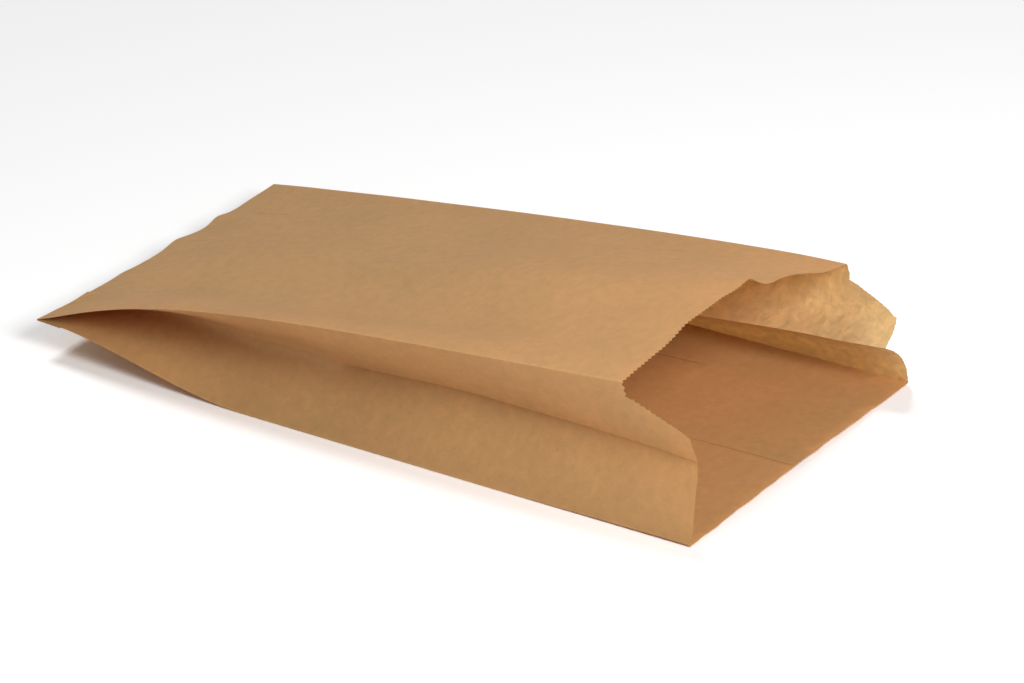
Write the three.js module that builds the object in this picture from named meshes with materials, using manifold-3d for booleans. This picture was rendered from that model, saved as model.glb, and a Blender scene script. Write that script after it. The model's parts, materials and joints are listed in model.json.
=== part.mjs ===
import * as THREE from 'three';
import { mergeVertices } from 'three/addons/utils/BufferGeometryUtils.js';
import Module from 'manifold-3d';

// Gusseted kraft paper bag, lying on its back panel with the mouth standing open.
// Millimetres. X runs from the closed end to the mouth, Y from the near side to the far side, Z is up.

// Sizes of the flat bag
const BAG_WIDTH = 180;
const BAG_LENGTH = 336;
const GUSSET_DEPTH = 36;
const PAPER = 0.4;
const FOLD_GAP = 0.8;

// Mouth cut: the front panel is shorter than the back, and the upper half of each gusset joins the two
// with a slant between two shares of its width, counted from the gusset's crease
const LIP_DEPTH = 29;
const SLANT_START = 0.43;
const SLANT_END = 0.82;

// Pasted parts: the seam along the back and the end that is folded under it
const LAP_WIDTH = 14;
const LAP_INSET = 3;
const END_FLAP = 13;
const END_FLAP_THICKNESS = 0.8;
const PASTE_BITE = 0.12;
const END_NOSE = 0.9;
const END_PLUG = 1.4;

// How far the closed end has curled up off the table, and over what length
const END_LIFT_NEAR = 16.3;
const END_LIFT_FAR = 12.4;
const END_LIFT_RUN = 112;

// How far the back panel's mouth edge stands off the table: at its corners, and more in its middle
const MOUTH_LIFT = 1;
const MOUTH_ARCH = 1.4;
const MOUTH_LIFT_START = 0.65;

// Rise of the two top creases from the closed end to the mouth, in shares of the open gusset's height:
// the near one rises quickly and then evenly, the far one ever more slowly
const NEAR_QUICK_RISE = 0.303;
const NEAR_QUICK_RUN = 58;
const NEAR_QUICK_POWER = 1.2;
const NEAR_EVEN_RISE = 0.448;
const FAR_RISE = 0.59;
const FAR_EASE = 0.36;
const NEAR_LEAN_OUT = 1.6;

// Least by which an open gusset stays short of flat, and the opening over which it takes up its tilt
const GUSSET_SLACK = 1.5;
const TILT_RISE = 4;

// Shape of the front panel: a soft ridge that grows towards the mouth, and a trough beside the near crease
const RIDGE_HEIGHT = 16;
const RIDGE_PLACE = 0.46;
const RIDGE_START = 0.3;
const RIDGE_EASE = 0.12;
const TROUGH_DEPTH = 9;
const TROUGH_WIDTH = 0.52;

// Outward bow of the gussets' upper and lower halves at the mouth
const NEAR_BOW_UPPER = 3.3;
const NEAR_BOW_LOWER = 1.7;
const FAR_BOW_UPPER = 6.5;
const FAR_BOW_LOWER = 4;
const BOW_START = 0.5;

// Mesh steps: along each panel across the bag, at each fold, and along the bag
const BACK_STEPS = 4;
const GUSSET_STATIONS = [0, SLANT_START, (SLANT_START + SLANT_END) / 2, SLANT_END, 1];
const FRONT_STEPS = 18;
const FOLD_POINTS = 2;
const LENGTH_STEPS = 26;
const ROW_GROWTH = 1.15;
const LIP_STEPS = 5;
const MITRE_LIMIT = 0.6;

const HALF_WIDTH = BAG_WIDTH / 2;
const BACK_HEIGHT = 1.5 * PAPER;
const GUSSET_HEIGHT = 2 * GUSSET_DEPTH;
const EVEN_ROWS_END = BAG_LENGTH - 2 * LIP_DEPTH;

const clamp = THREE.MathUtils.clamp;
const lerp = THREE.MathUtils.lerp;
const smoothstep = THREE.MathUtils.smoothstep;

// Height of the back panel's middle surface above the table
function backHeight(along, across) {
  const endLift = lerp(END_LIFT_NEAR, END_LIFT_FAR, across / BAG_WIDTH + 0.5);
  const arch = Math.cos(Math.PI * across / BAG_WIDTH);
  const mouthLift = MOUTH_LIFT + MOUTH_ARCH * arch * arch;
  const endShare = 1 - smoothstep(along, 0, END_LIFT_RUN);
  const mouthShare = smoothstep(along / BAG_LENGTH, MOUTH_LIFT_START, 1);
  return BACK_HEIGHT + endLift * endShare + mouthLift * mouthShare;
}

// Height that one side has opened, from the rise of its top crease and the height of the back panel
function opening(along, across, rise) {
  const height = backHeight(0, across) - backHeight(along, across) + GUSSET_HEIGHT * rise;
  return Math.min(height, GUSSET_HEIGHT - GUSSET_SLACK);
}

function nearOpening(along) {
  const quick = 1 - Math.exp(-Math.pow(along / NEAR_QUICK_RUN, NEAR_QUICK_POWER));
  return opening(along, -HALF_WIDTH, NEAR_QUICK_RISE * quick + NEAR_EVEN_RISE * along / BAG_LENGTH);
}

function farOpening(along) {
  const progress = along / BAG_LENGTH;
  return opening(along, HALF_WIDTH, FAR_RISE * progress * (1 + FAR_EASE * (1 - progress)));
}

// Height of the front panel above the straight line between its two creases
function frontRelief(along, share) {
  const progress = along / BAG_LENGTH;
  const grown = clamp((progress - RIDGE_START) / (1 - RIDGE_START), 0, 1);
  const nearSide = Math.sin(Math.min(share / RIDGE_PLACE, 1) * Math.PI / 2);
  const run = clamp((1 - share) / (1 - RIDGE_PLACE), 0, 1);
  const farSide = run - RIDGE_EASE * Math.sin(2 * Math.PI * run);
  const ridge = share < RIDGE_PLACE ? nearSide : farSide;
  const dip = Math.sin(Math.PI * clamp(share / TROUGH_WIDTH, 0, 1));
  return RIDGE_HEIGHT * grown * ridge - TROUGH_DEPTH * Math.sin(Math.PI * progress) * dip * dip;
}

// Points of a panel at shares of its width, without the last one; the panel is straight or bowed
function panelPoints(first, last, stations, bow) {
  const side = new THREE.Vector2(last.y - first.y, first.x - last.x).normalize();
  return stations.slice(0, -1).map((share) => {
    const point = first.clone().lerp(last, share);
    return point.addScaledVector(side, bow * Math.sin(Math.PI * share));
  });
}

// A fold of the paper back over itself: its two corners and a rounded nose between them
function foldPoints(first, last, outward) {
  const nose = first.clone().lerp(last, 0.5);
  nose.x += outward * FOLD_GAP / 2;
  return [first, nose];
}

// Points of the front panel, laid so that each step keeps its length on the paper
function frontPoints(first, farHeight, along) {
  const points = [first];
  const step = BAG_WIDTH / FRONT_STEPS;
  for (let i = 1; i <= FRONT_STEPS; i += 1) {
    const share = i / FRONT_STEPS;
    const height = lerp(first.y, farHeight, share) + frontRelief(along, share);
    const last = points[i - 1];
    const rise = height - last.y;
    points.push(new THREE.Vector2(last.x + Math.sqrt(step * step - rise * rise), height));
  }
  return points;
}

// Where the two halves of a gusset meet; a bow brings the ends of each half nearer together
function gussetCrease(low, high, inward, bow) {
  const chord = high.clone().sub(low);
  const half = GUSSET_DEPTH - 8 * bow * bow / (3 * GUSSET_DEPTH);
  const reach = Math.sqrt(Math.max(half * half - chord.lengthSq() / 4, 0));
  const tilt = Math.atan2(chord.x, chord.y) * smoothstep(chord.y, 0, TILT_RISE);
  const side = new THREE.Vector2(Math.cos(tilt), -Math.sin(tilt));
  return low.clone().addScaledVector(chord, 0.5).addScaledVector(side, inward * reach);
}

// Section of the paper across the bag, once round from the middle of the back panel.
// Its points are (across, height) pairs on the middle of the sheet.
function sheetSection(along) {
  const up = new THREE.Vector2(0, FOLD_GAP);
  const bowed = smoothstep(along / BAG_LENGTH, BOW_START, 1);
  const nearBow = bowed * (NEAR_BOW_UPPER + NEAR_BOW_LOWER) / 2;
  const farBow = bowed * (FAR_BOW_UPPER + FAR_BOW_LOWER) / 2;
  const middle = new THREE.Vector2(0, backHeight(along, 0));
  const nearBack = new THREE.Vector2(-HALF_WIDTH, backHeight(along, -HALF_WIDTH));
  const farBack = new THREE.Vector2(HALF_WIDTH, backHeight(along, HALF_WIDTH));
  const even = Array.from({ length: BACK_STEPS + 1 }, (unused, i) => i / BACK_STEPS);
  const fromCrease = GUSSET_STATIONS;
  const toCrease = GUSSET_STATIONS.map((share) => 1 - share).reverse();

  const nearLow = nearBack.clone().add(up);
  const nearHigh = nearLow.clone().add(up);
  nearHigh.y += nearOpening(along);
  nearHigh.x -= NEAR_LEAN_OUT * along / BAG_LENGTH;
  const nearCrease = gussetCrease(nearLow, nearHigh.clone().sub(up), 1, nearBow);

  const farHeight = farBack.y + 3 * FOLD_GAP + farOpening(along);
  const front = frontPoints(nearHigh.clone().add(up), farHeight, along);
  const farTop = front.pop();
  const farLow = farBack.clone().add(up);
  const farHigh = farTop.clone().sub(up);
  const farCrease = gussetCrease(farLow, farHigh.clone().sub(up), -1, farBow);

  return [
    ...panelPoints(middle, nearBack, even, 0),
    ...foldPoints(nearBack, nearLow, -1),
    ...panelPoints(nearLow, nearCrease, toCrease, -NEAR_BOW_LOWER * bowed),
    ...foldPoints(nearCrease, nearCrease.clone().add(up), 1),
    ...panelPoints(nearCrease.clone().add(up), nearHigh, fromCrease, -NEAR_BOW_UPPER * bowed),
    ...foldPoints(nearHigh, front[0], -1),
    ...front,
    ...foldPoints(farTop, farHigh, 1),
    ...panelPoints(farHigh, farCrease.clone().add(up), toCrease, -FAR_BOW_UPPER * bowed),
    ...foldPoints(farCrease.clone().add(up), farCrease, -1),
    ...panelPoints(farCrease, farLow, fromCrease, -FAR_BOW_LOWER * bowed),
    ...foldPoints(farLow, farBack, 1),
    ...panelPoints(farBack, middle, even, 0),
  ];
}

// Where the paper is cut at each point of the section, measured along the bag
function cutLengths() {
  const full = (count) => new Array(count).fill(BAG_LENGTH);
  const short = (count) => new Array(count).fill(BAG_LENGTH - LIP_DEPTH);
  const slanted = GUSSET_STATIONS.map((share) => {
    return BAG_LENGTH - LIP_DEPTH * clamp((share - SLANT_START) / (SLANT_END - SLANT_START), 0, 1);
  });
  const gussetSteps = GUSSET_STATIONS.length - 1;
  const lower = BACK_STEPS + FOLD_POINTS + gussetSteps + FOLD_POINTS;
  return [
    ...full(lower),
    ...slanted.slice(0, -1),
    ...short(FOLD_POINTS + FRONT_STEPS + FOLD_POINTS),
    ...slanted.slice(1).reverse(),
    ...full(lower),
  ];
}

// The same section moved out to the paper's outer face, or in to its inner face
function offsetSection(section, distance) {
  const count = section.length;
  return section.map((point, i) => {
    const before = section[(i + count - 1) % count];
    const after = section[(i + 1) % count];
    const first = new THREE.Vector2(point.y - before.y, before.x - point.x).normalize();
    const second = new THREE.Vector2(after.y - point.y, point.x - after.x).normalize();
    const normal = first.clone().add(second).normalize();
    return point.clone().addScaledVector(normal, distance / Math.max(normal.dot(first), MITRE_LIMIT));
  });
}

// Distances along the bag of one column's rows: the bar in the closed end, ever longer steps,
// then shorter ones that follow the cut
function rowDistances(cut) {
  const rows = [0, END_PLUG];
  for (let i = 1; i <= LENGTH_STEPS; i += 1) {
    rows.push(EVEN_ROWS_END * Math.pow(i / LENGTH_STEPS, ROW_GROWTH));
  }
  for (let i = 1; i <= LIP_STEPS; i += 1) {
    rows.push(lerp(EVEN_ROWS_END, cut, i / LIP_STEPS));
  }
  return rows;
}

// Folded sheet as a grid of middle, outer and inner points, each column laid at its true length
function foldedSheet() {
  const cuts = cutLengths();
  return cuts.map((cut, column) => {
    let x = 0;
    let previous = null;
    let walked = 0;
    return rowDistances(cut).map((along) => {
      const section = sheetSection(along);
      const point = section[column];
      if (previous) {
        const flat = point.distanceTo(previous);
        const step = along - walked;
        x += Math.sqrt(step * step - flat * flat);
      }
      previous = point;
      walked = along;
      const outer = offsetSection(section, PAPER / 2)[column];
      const inner = offsetSection(section, -PAPER / 2)[column];
      return {
        outer: new THREE.Vector3(x, outer.x, outer.y),
        inner: new THREE.Vector3(x, inner.x, inner.y),
      };
    });
  });
}

// Closed ring of paper: a torus whose tube is flattened to the outer face, mouth edge, inner face and end edge
function tubeGeometry() {
  const sheet = foldedSheet();
  const columns = sheet.length;
  const rows = sheet[0].length;
  const geometry = new THREE.TorusGeometry(BAG_WIDTH, PAPER, 2 * rows, columns);
  const position = geometry.attributes.position;
  for (let j = 0; j <= 2 * rows; j += 1) {
    for (let i = 0; i <= columns; i += 1) {
      const column = sheet[i % columns];
      const row = j % (2 * rows);
      const point = row < rows ? column[row].outer : column[2 * rows - 1 - row].inner;
      position.setXYZ(j * (columns + 1) + i, point.x, point.y, point.z);
    }
  }
  return geometry;
}

// A layer pasted on the back panel, with given places along the bag, between two heights measured
// from the middle of that panel's paper
function backLayer(places, width, low, high) {
  const steps = places.length - 1;
  const geometry = new THREE.BoxGeometry(steps, width, high - low, steps, BACK_STEPS * 2, 1);
  geometry.translate(steps / 2, 0, (low + high) / 2);
  const position = geometry.attributes.position;
  for (let i = 0; i < position.count; i += 1) {
    const x = places[Math.round(position.getX(i))];
    const base = backHeight(Math.max(x, 0), position.getY(i));
    position.setX(i, x);
    position.setZ(i, position.getZ(i) + base);
  }
  return geometry;
}

// Bar that closes the end: the fold where all the layers turn under
function endFold() {
  const width = BAG_WIDTH + FOLD_GAP + PAPER + 2 * PASTE_BITE;
  const length = END_NOSE + END_PLUG;
  const geometry = new THREE.BoxGeometry(length, width, 1, 3, BACK_STEPS * 2, 1);
  geometry.translate((END_PLUG - END_NOSE) / 2, 0, 0.5);
  const position = geometry.attributes.position;
  for (let i = 0; i < position.count; i += 1) {
    const along = Math.max(position.getX(i), 0);
    const across = position.getY(i);
    const opened = lerp(nearOpening(along), farOpening(along), clamp(across / BAG_WIDTH + 0.5, 0, 1));
    const nose = Math.max(-position.getX(i), 0) / END_NOSE;
    const low = -PAPER / 2 - PASTE_BITE + nose * FOLD_GAP;
    const high = 3 * FOLD_GAP + opened + PAPER / 2 + PASTE_BITE - nose * FOLD_GAP;
    position.setZ(i, backHeight(along, across) + lerp(low, high, position.getZ(i)));
  }
  return geometry;
}

const wasm = await Module();
wasm.setup();

function toSolid(geometry) {
  const bare = geometry.clone();
  bare.deleteAttribute('normal');
  bare.deleteAttribute('uv');
  const merged = mergeVertices(bare, 1e-4);
  return new wasm.Manifold(new wasm.Mesh({
    numProp: 3,
    vertProperties: new Float32Array(merged.attributes.position.array),
    triVerts: new Uint32Array(merged.index.array),
  }));
}

function toGeometry(solid) {
  const mesh = solid.getMesh();
  const geometry = new THREE.BufferGeometry();
  geometry.setAttribute('position', new THREE.BufferAttribute(new Float32Array(mesh.vertProperties), 3));
  geometry.setIndex(new THREE.BufferAttribute(new Uint32Array(mesh.triVerts), 1));
  geometry.computeVertexNormals();
  return geometry;
}

function bagGeometry() {
  const under = -PAPER / 2;
  const lapPlaces = rowDistances(BAG_LENGTH - LAP_INSET);
  const lap = backLayer(lapPlaces, LAP_WIDTH, under - PAPER, under + PASTE_BITE);
  const flapPlaces = [-END_NOSE / 2, 0, END_FLAP / 2, END_FLAP];
  const flapWidth = BAG_WIDTH - 2 * FOLD_GAP;
  const flap = backLayer(flapPlaces, flapWidth, under - END_FLAP_THICKNESS, under + PASTE_BITE);
  const solid = toSolid(tubeGeometry()).add(toSolid(endFold())).add(toSolid(flap)).add(toSolid(lap));
  return toGeometry(solid);
}

const kraft = new THREE.MeshStandardMaterial({ color: 0xb8915c, roughness: 0.85, metalness: 0 });
const bag = new THREE.Mesh(bagGeometry(), kraft);
bag.name = 'paper_bag';
bag.geometry.computeBoundingBox();
const box = bag.geometry.boundingBox;
bag.position.set(-(box.min.x + box.max.x) / 2, -(box.min.y + box.max.y) / 2, -box.min.z);

const model = new THREE.Group();
model.add(bag);

export default model;
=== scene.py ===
"""Dresses a gusseted kraft paper bag: one sheet, folded from flat, in a plain pale studio."""

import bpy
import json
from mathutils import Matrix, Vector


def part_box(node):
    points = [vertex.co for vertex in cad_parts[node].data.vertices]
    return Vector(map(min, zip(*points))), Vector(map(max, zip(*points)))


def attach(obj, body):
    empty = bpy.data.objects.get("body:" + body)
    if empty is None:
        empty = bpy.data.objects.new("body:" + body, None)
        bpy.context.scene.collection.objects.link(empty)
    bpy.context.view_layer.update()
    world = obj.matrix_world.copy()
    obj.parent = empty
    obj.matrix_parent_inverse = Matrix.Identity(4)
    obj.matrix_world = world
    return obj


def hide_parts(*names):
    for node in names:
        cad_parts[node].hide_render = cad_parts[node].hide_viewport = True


bl_info = {
    "name": "Gusseted Paper Bag",
    "version": (1, 0, 0),
    "blender": (4, 5, 0),
    "location": "View3D > Sidebar > Paper Bag",
    "description": "Folds a kraft paper bag from a flat sheet and lights it in a plain studio",
    "category": "Add Mesh",
}

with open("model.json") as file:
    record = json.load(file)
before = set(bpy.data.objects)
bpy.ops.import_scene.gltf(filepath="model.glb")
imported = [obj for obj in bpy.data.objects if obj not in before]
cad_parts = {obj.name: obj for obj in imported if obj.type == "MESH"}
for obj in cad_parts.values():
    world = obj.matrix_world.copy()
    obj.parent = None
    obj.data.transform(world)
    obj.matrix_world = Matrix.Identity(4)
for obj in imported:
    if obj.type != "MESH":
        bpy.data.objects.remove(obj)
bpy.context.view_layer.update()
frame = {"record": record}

import json
import math

import bmesh
import bpy
import numpy as np
from bpy.props import FloatProperty, FloatVectorProperty, PointerProperty
from mathutils import Vector, noise

MM = 0.001
END_NOSE = 0.9 * MM

# The bag's own zero is the middle of its closed end, on the table
BAG_END_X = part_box("paper_bag")[0].x + END_NOSE
BAG_MIDDLE_Y = frame["record"]["mounts"][0]["pos_m"][1]


def srgb(hex_code):
    """Linear colour of an sRGB hex value."""
    channels = [int(hex_code[i:i + 2], 16) / 255 for i in (0, 2, 4)]
    return tuple(c / 12.92 if c <= 0.04045 else ((c + 0.055) / 1.055) ** 2.4 for c in channels)


class BagSheetSettings(bpy.types.PropertyGroup):
    """Sizes of the flat sheet, its creases and its cut edge."""

    width: FloatProperty(
        name="Width", description="Width of the flat bag", default=180 * MM, unit="LENGTH")
    length: FloatProperty(
        name="Length", description="Length of the back panel", default=336 * MM, unit="LENGTH")
    gusset: FloatProperty(
        name="Gusset Depth", description="Width of one gusset half", default=36 * MM, unit="LENGTH")
    lap: FloatProperty(
        name="Lap", description="Width of the pasted seam", default=14 * MM, unit="LENGTH")
    end_flap: FloatProperty(
        name="End Flap", description="Length folded under and pasted", default=13 * MM,
        unit="LENGTH")
    lip_depth: FloatProperty(
        name="Lip Depth", description="How much shorter the front panel is", default=29 * MM,
        unit="LENGTH")
    lip_shoulder: FloatProperty(
        name="Lip Shoulder", description="Full-length strip beside the gusset crease",
        default=15.5 * MM, unit="LENGTH")
    lip_slant: FloatProperty(
        name="Lip Slant", description="Width over which the cut slants", default=14 * MM,
        unit="LENGTH")
    paper: FloatProperty(
        name="Paper", description="Thickness of the paper", default=0.1 * MM, unit="LENGTH")
    layer: FloatProperty(
        name="Layer Pitch", description="Height from one flat layer to the next",
        default=0.105 * MM, unit="LENGTH")
    lip_skew: FloatProperty(
        name="Lip Skew", description="How much longer the front panel is at its far side",
        default=2.2 * MM, unit="LENGTH")
    far_slip: FloatProperty(
        name="Far Slip", description="How far the far gusset's strip slopes back beside its crease",
        default=3 * MM, unit="LENGTH")
    tooth_depth: FloatProperty(
        name="Tooth Depth", description="Depth of the teeth that the cutter leaves",
        default=1.2 * MM, unit="LENGTH")


class BagFormSettings(bpy.types.PropertyGroup):
    """How the bag lies and how far it has opened."""

    end_lift_near: FloatProperty(
        name="Near Lift", description="Curl of the closed end on the near side",
        default=16.3 * MM, unit="LENGTH")
    end_lift_far: FloatProperty(
        name="Far Lift", description="Curl of the closed end on the far side",
        default=12.4 * MM, unit="LENGTH")
    end_lift_run: FloatProperty(
        name="Lift Run", description="Length over which the curl dies out",
        default=112 * MM, unit="LENGTH")
    near_rise: FloatProperty(
        name="Near Rise", description="Quick rise of the near side behind the closed end",
        default=21.8 * MM, unit="LENGTH")
    near_rise_run: FloatProperty(
        name="Near Rise Run", description="Length over which the quick rise comes",
        default=58 * MM, unit="LENGTH")
    near_slope: FloatProperty(
        name="Near Slope", description="Steady rise of the near side along the bag", default=0.096)
    far_rise: FloatProperty(
        name="Far Rise", description="Rise of the far side from the closed end to the mouth",
        default=42.5 * MM, unit="LENGTH")
    far_ease: FloatProperty(
        name="Far Ease", description="How much sooner than evenly the far side rises",
        default=0.36)
    mouth_lift: FloatProperty(
        name="Mouth Lift", description="Lift of the back panel's corners at the mouth",
        default=1 * MM, unit="LENGTH")
    mouth_arch: FloatProperty(
        name="Mouth Arch", description="Further lift in the middle of the back panel's mouth edge",
        default=1.4 * MM, unit="LENGTH")
    ridge: FloatProperty(
        name="Ridge", description="Height of the front panel's soft ridge at the mouth",
        default=16 * MM, unit="LENGTH")
    trough: FloatProperty(
        name="Trough", description="Depth of the dip beside the near crease",
        default=9 * MM, unit="LENGTH")
    end_sag: FloatProperty(
        name="End Sag", description="Sag of the closed end between its corners",
        default=1.6 * MM, unit="LENGTH")
    end_wave: FloatProperty(
        name="End Wave", description="Height of the small waves along the closed end",
        default=1.0 * MM, unit="LENGTH")
    cockle: FloatProperty(
        name="Cockle", description="Height of the paper's gentle unevenness",
        default=0.28 * MM, unit="LENGTH")
    crinkle: FloatProperty(
        name="Crinkle", description="Height of the crumples inside the far gusset",
        default=0.38 * MM, unit="LENGTH")


class KraftSettings(bpy.types.PropertyGroup):
    """Colours of the kraft paper."""

    outside: FloatVectorProperty(
        name="Outside", description="Smooth outer face", size=3, subtype="COLOR",
        default=srgb("D0AF78"), min=0, max=1)
    inside: FloatVectorProperty(
        name="Inside", description="Rough inner face", size=3, subtype="COLOR",
        default=srgb("D6B27A"), min=0, max=1)
    through: FloatVectorProperty(
        name="Through", description="Light that passes through the thin sheet", size=3,
        subtype="COLOR", default=srgb("FFCB8A"), min=0, max=1)
    # Pale colour mixed into the crumpled far gusset: partly broken glaze, partly painted light
    rub_and_painted_light: FloatVectorProperty(
        name="Rubbed", description="Paper whose glaze is broken by crumpling", size=3,
        subtype="COLOR", default=srgb("EAD6A4"), min=0, max=1)
    # The translucent colour for the same crumpled far gusset, paler with the same painted light
    through_crumpled_lit: FloatVectorProperty(
        name="Through Rubbed", description="Light that passes through crumpled paper", size=3,
        subtype="COLOR", default=srgb("FFE9B8"), min=0, max=1)
    fleck: FloatVectorProperty(
        name="Fleck", description="Bark flecks in the pulp", size=3, subtype="COLOR",
        default=srgb("7A5530"), min=0, max=1)


class StudioSettings(bpy.types.PropertyGroup):
    """Camera, lamps and floor."""

    azimuth: FloatProperty(
        name="Azimuth", description="Camera's turn round the bag, in degrees", default=32.97)
    elevation: FloatProperty(
        name="Elevation", description="Camera's height above the horizon, in degrees",
        default=26.0)
    distance: FloatProperty(
        name="Distance", description="Camera's distance from its aim", default=2.5357,
        unit="LENGTH")
    lens: FloatProperty(
        name="Lens", description="Focal length in millimetres, on a 36 mm wide sensor",
        default=207.7)
    sky: FloatProperty(
        name="Sky", description="Strength of the even white light all round", default=0.22)
    key: FloatProperty(
        name="Key", description="Strength of the soft light from above the closed end",
        default=1.3)
    key_softness: FloatProperty(
        name="Key Softness", description="How wide the soft light looks from the bag",
        default=math.radians(17), subtype="ANGLE")
    fill: FloatProperty(
        name="Fill", description="Power of the lamp in front of the mouth", default=9.0,
        unit="POWER")
    floor: FloatVectorProperty(
        name="Floor", description="Colour of the floor", size=3, subtype="COLOR",
        default=srgb("FDFDFD"), min=0, max=1)
    floor_seen: FloatProperty(
        name="Floor Seen", description="How much lighter the camera sees the floor, to be white",
        default=1.2)


GROUPS = {
    "bag_sheet": BagSheetSettings,
    "bag_form": BagFormSettings,
    "bag_kraft": KraftSettings,
    "bag_studio": StudioSettings,
}

# Soft dents and bulges of the front panel: distance along the bag and share across it,
# length and breadth, turn in degrees, and height
FRONT_DENTS = (
    (36 * MM, 0.27, 26 * MM, 9 * MM, 8, -1.0 * MM),
    (44 * MM, 0.44, 30 * MM, 10 * MM, 40, 0.9 * MM),
    (9 * MM, 0.71, 16 * MM, 9 * MM, 20, -0.8 * MM),
    (66 * MM, 0.62, 34 * MM, 7 * MM, -14, 0.45 * MM),
    (96 * MM, 0.76, 62 * MM, 4 * MM, 3, 0.35 * MM),
    (100 * MM, 0.88, 52 * MM, 5 * MM, 2, -0.35 * MM),
    (92 * MM, 0.30, 22 * MM, 8 * MM, -10, -0.5 * MM),
    (132 * MM, 0.55, 36 * MM, 12 * MM, -22, -0.6 * MM),
    (176 * MM, 0.83, 60 * MM, 5 * MM, -5, 0.4 * MM),
    (196 * MM, 0.80, 36 * MM, 8 * MM, -22, 0.8 * MM),
    (250 * MM, 0.71, 30 * MM, 8 * MM, -14, 1.0 * MM),
    (292 * MM, 0.60, 24 * MM, 7 * MM, -28, 1.1 * MM),
    (320 * MM, 0.545, 24 * MM, 6 * MM, -12, 1.9 * MM),
    (322 * MM, 0.635, 26 * MM, 8 * MM, -8, -2.3 * MM),
    (312 * MM, 0.27, 40 * MM, 14 * MM, 0, 1.4 * MM),
    (318 * MM, 0.80, 34 * MM, 17 * MM, 0, 2.4 * MM),
    (310 * MM, 0.20, 60 * MM, 9 * MM, 4, -0.5 * MM),
)

# Small waves of the closed end: place across the bag, breadth, and height as a share of the end wave
END_WAVES = (
    (-66 * MM, 9 * MM, -0.5),
    (-28 * MM, 7 * MM, 0.5),
    (13 * MM, 9 * MM, 1.6),
    (34 * MM, 7 * MM, -0.4),
    (45 * MM, 6 * MM, 1.2),
    (60 * MM, 8 * MM, -0.3),
)

# Fine creases, each from one point of the flat sheet to another, with its breadth; each is a groove
# in the relief with painted shade along it
OUTSIDE_CREASES = (
    ((313.0 * MM, 12 * MM), (311.8 * MM, 41 * MM), 0.9 * MM),
)
INSIDE_CREASES = (
    ((455.5 * MM, 205 * MM), (452.0 * MM, 259 * MM), 0.8 * MM),
)

# The camera's aim: a point on the bag's axis, in the shared frame
CAMERA_AIM = Vector((BAG_END_X + 201.194 * MM, BAG_MIDDLE_Y - 18.715 * MM, 30 * MM))


def smoothstep(value, start, end):
    """0 before start, 1 after end, with a smooth change between."""
    share = np.clip((value - start) / (end - start), 0, 1)
    return share * share * (3 - 2 * share)


def bump(place, centre, breadth):
    """1 at the centre, falling smoothly to nothing on both sides."""
    return np.exp(-((place - centre) / breadth) ** 2)


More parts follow.
